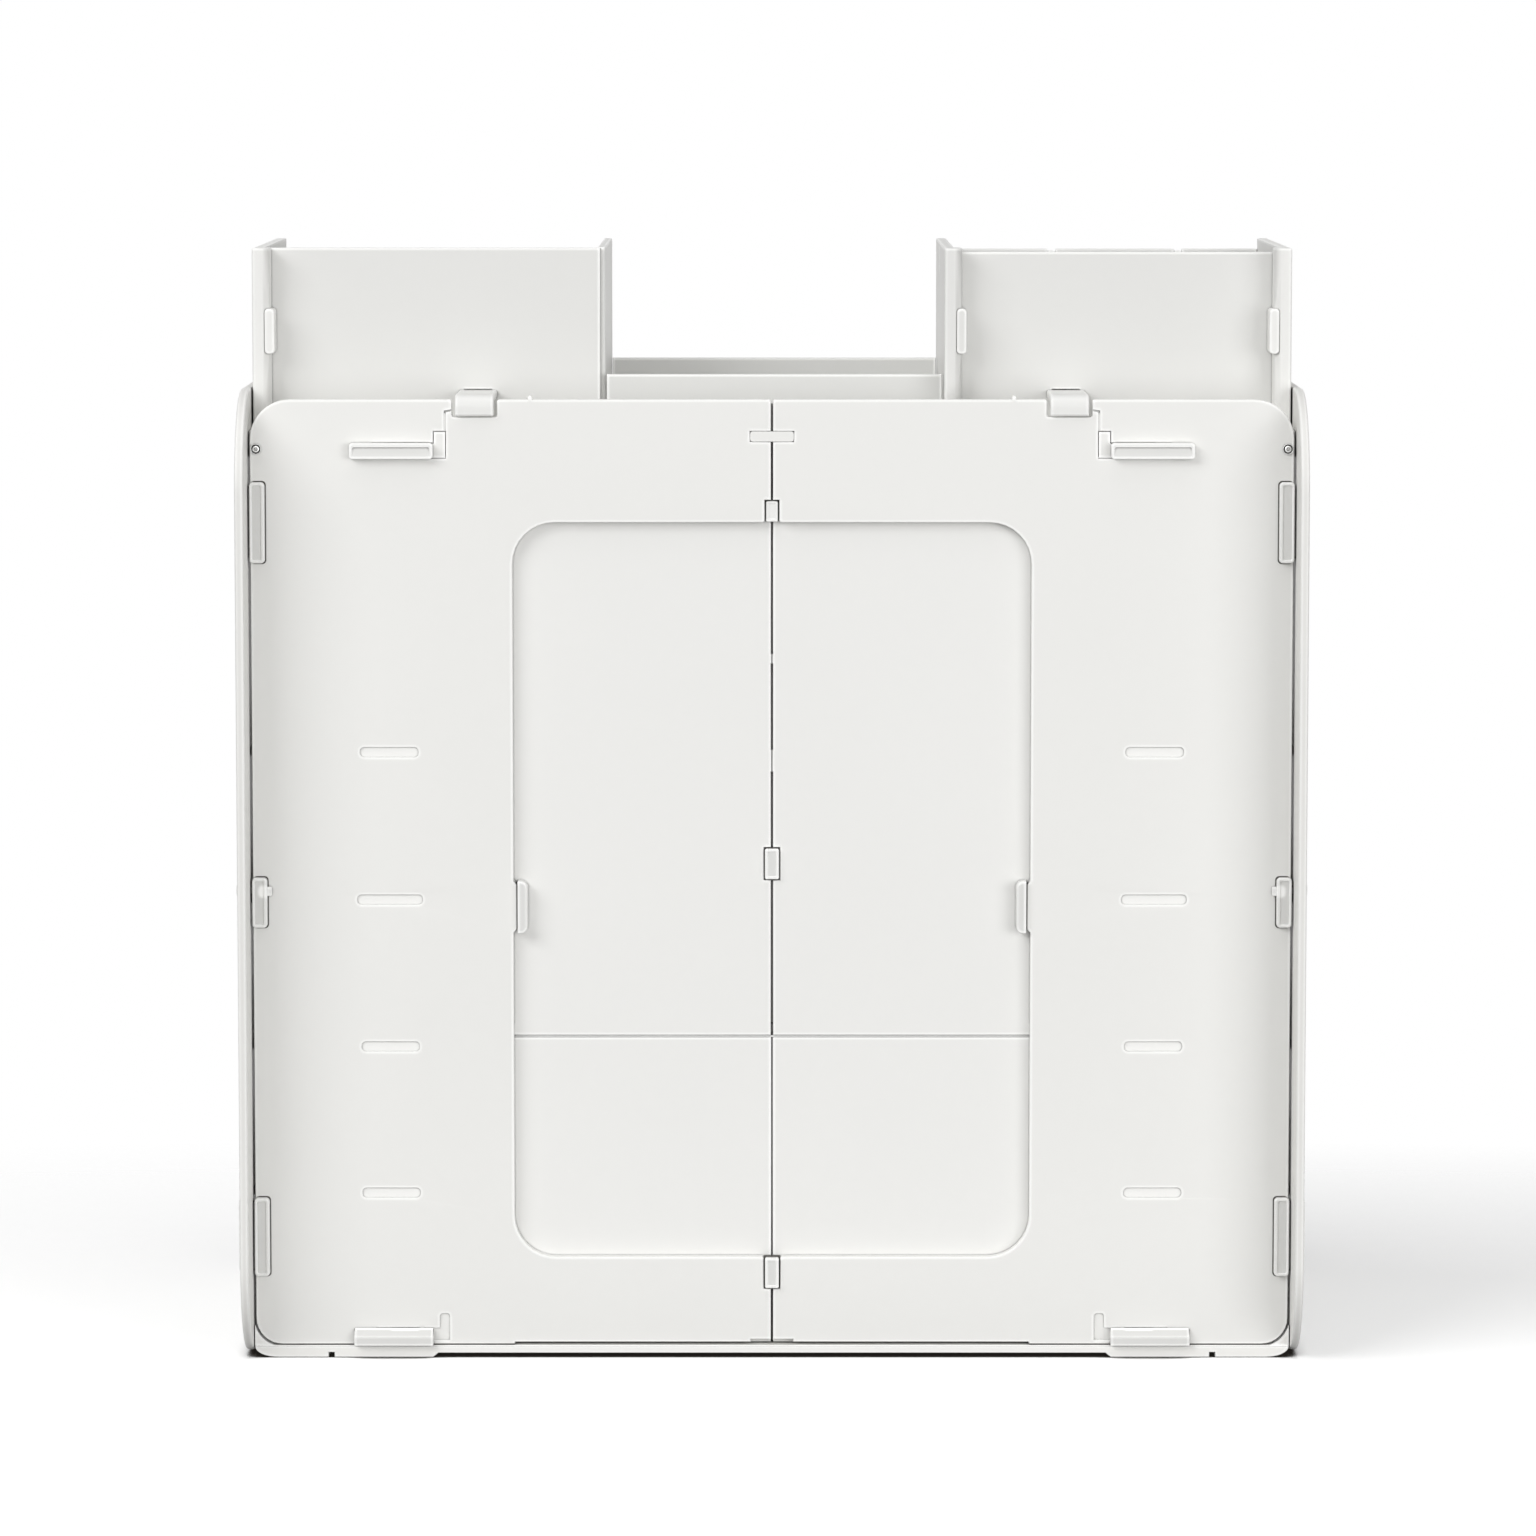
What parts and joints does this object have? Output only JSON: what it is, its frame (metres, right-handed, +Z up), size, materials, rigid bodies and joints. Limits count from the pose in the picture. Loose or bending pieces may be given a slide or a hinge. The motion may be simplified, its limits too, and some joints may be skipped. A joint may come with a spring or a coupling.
{
  "type": "desktop document organizer",
  "caption": "Free-standing desktop organizer of white plastic boards with shelf columns, open bays, pull-out drawers, a top tray and lift-off caddies hooked over its back panel.",
  "frame": {"origin": "bottom centre of the whole part, on the desk under the feet", "axes": "+Z up, -Y out of the pictured back, +Y out of the open front, +X to the right of someone facing the back"},
  "size_m": [0.4626, 0.25, 0.48],
  "materials": {
    "body_plastic": "satin off-white",
    "inner_plastic": "matte off-white",
    "clip_plastic": "satin off-white",
    "screw_steel": "satin"
  },
  "bodies": {
    "carcass": {"top_board": "body_plastic", "bottom_board": "body_plastic", "mid_shelf": "inner_plastic", "centre_divider": "inner_plastic", "tray_back_wall": "body_plastic", "tray_front_wall": "body_plastic", "seam_clip_upper": "clip_plastic", "seam_clip_middle": "clip_plastic", "seam_clip_lower": "clip_plastic", "side_panel_left": "body_plastic", "back_panel_left": "body_plastic", "inner_back_left": "inner_plastic", "partition_left": "inner_plastic", "window_clip_left": "clip_plastic", "rear_screw_left": "screw_steel", "side_screw_left": "screw_steel", "left_shelf_1": "inner_plastic", "left_shelf_2": "inner_plastic", "left_shelf_3": "inner_plastic", "left_shelf_4": "inner_plastic", "edge_clip_left_upper": "clip_plastic", "edge_clip_left_middle": "clip_plastic", "edge_clip_left_lower": "clip_plastic", "side_panel_right": "body_plastic", "back_panel_right": "body_plastic", "inner_back_right": "inner_plastic", "partition_right": "inner_plastic", "window_clip_right": "clip_plastic", "rear_screw_right": "screw_steel", "side_screw_right": "screw_steel", "right_shelf_1": "inner_plastic", "right_shelf_2": "inner_plastic", "right_shelf_3": "inner_plastic", "right_shelf_4": "inner_plastic", "edge_clip_right_upper": "clip_plastic", "edge_clip_right_middle": "clip_plastic", "edge_clip_right_lower": "clip_plastic"},
    "latch_top_left": {"latch_top_left": "clip_plastic"},
    "latch_bottom_left": {"latch_bottom_left": "clip_plastic"},
    "drawer_left": {"drawer_left": "inner_plastic"},
    "caddy_left": {"left_caddy_back": "body_plastic", "left_caddy_front": "body_plastic", "left_caddy_outer_wall": "body_plastic", "left_caddy_inner_wall": "body_plastic", "left_caddy_floor": "body_plastic", "left_caddy_hook": "clip_plastic"},
    "latch_top_right": {"latch_top_right": "clip_plastic"},
    "latch_bottom_right": {"latch_bottom_right": "clip_plastic"},
    "drawer_right": {"drawer_right": "inner_plastic"},
    "caddy_right": {"right_caddy_back": "body_plastic", "right_caddy_front": "body_plastic", "right_caddy_outer_wall": "body_plastic", "right_caddy_inner_wall": "body_plastic", "right_caddy_floor": "body_plastic", "right_caddy_hook": "clip_plastic", "right_caddy_divider_1": "inner_plastic", "right_caddy_divider_2": "inner_plastic"}
  },
  "joints": [
    {"name": "drawer_left_slide", "type": "slide", "parent": "carcass", "child": "drawer_left", "axis": [0, 1, 0], "range_m": [0, 0.17]},
    {"name": "drawer_right_slide", "type": "slide", "parent": "carcass", "child": "drawer_right", "axis": [0, 1, 0], "range_m": [0, 0.17]},
    {"name": "latch_top_left_slide", "type": "slide", "parent": "carcass", "child": "latch_top_left", "axis": [-1, 0, 0], "range_m": [0, 0.006]},
    {"name": "latch_bottom_left_slide", "type": "slide", "parent": "carcass", "child": "latch_bottom_left", "axis": [-1, 0, 0], "range_m": [0, 0.006]},
    {"name": "latch_top_right_slide", "type": "slide", "parent": "carcass", "child": "latch_top_right", "axis": [1, 0, 0], "range_m": [0, 0.006]},
    {"name": "latch_bottom_right_slide", "type": "slide", "parent": "carcass", "child": "latch_bottom_right", "axis": [1, 0, 0], "range_m": [0, 0.006]},
    {"name": "caddy_left_lift", "type": "slide", "parent": "carcass", "child": "caddy_left", "axis": [0, 0, 1], "range_m": [0, 0.05]},
    {"name": "caddy_right_lift", "type": "slide", "parent": "carcass", "child": "caddy_right", "axis": [0, 0, 1], "range_m": [0, 0.05]}
  ]
}
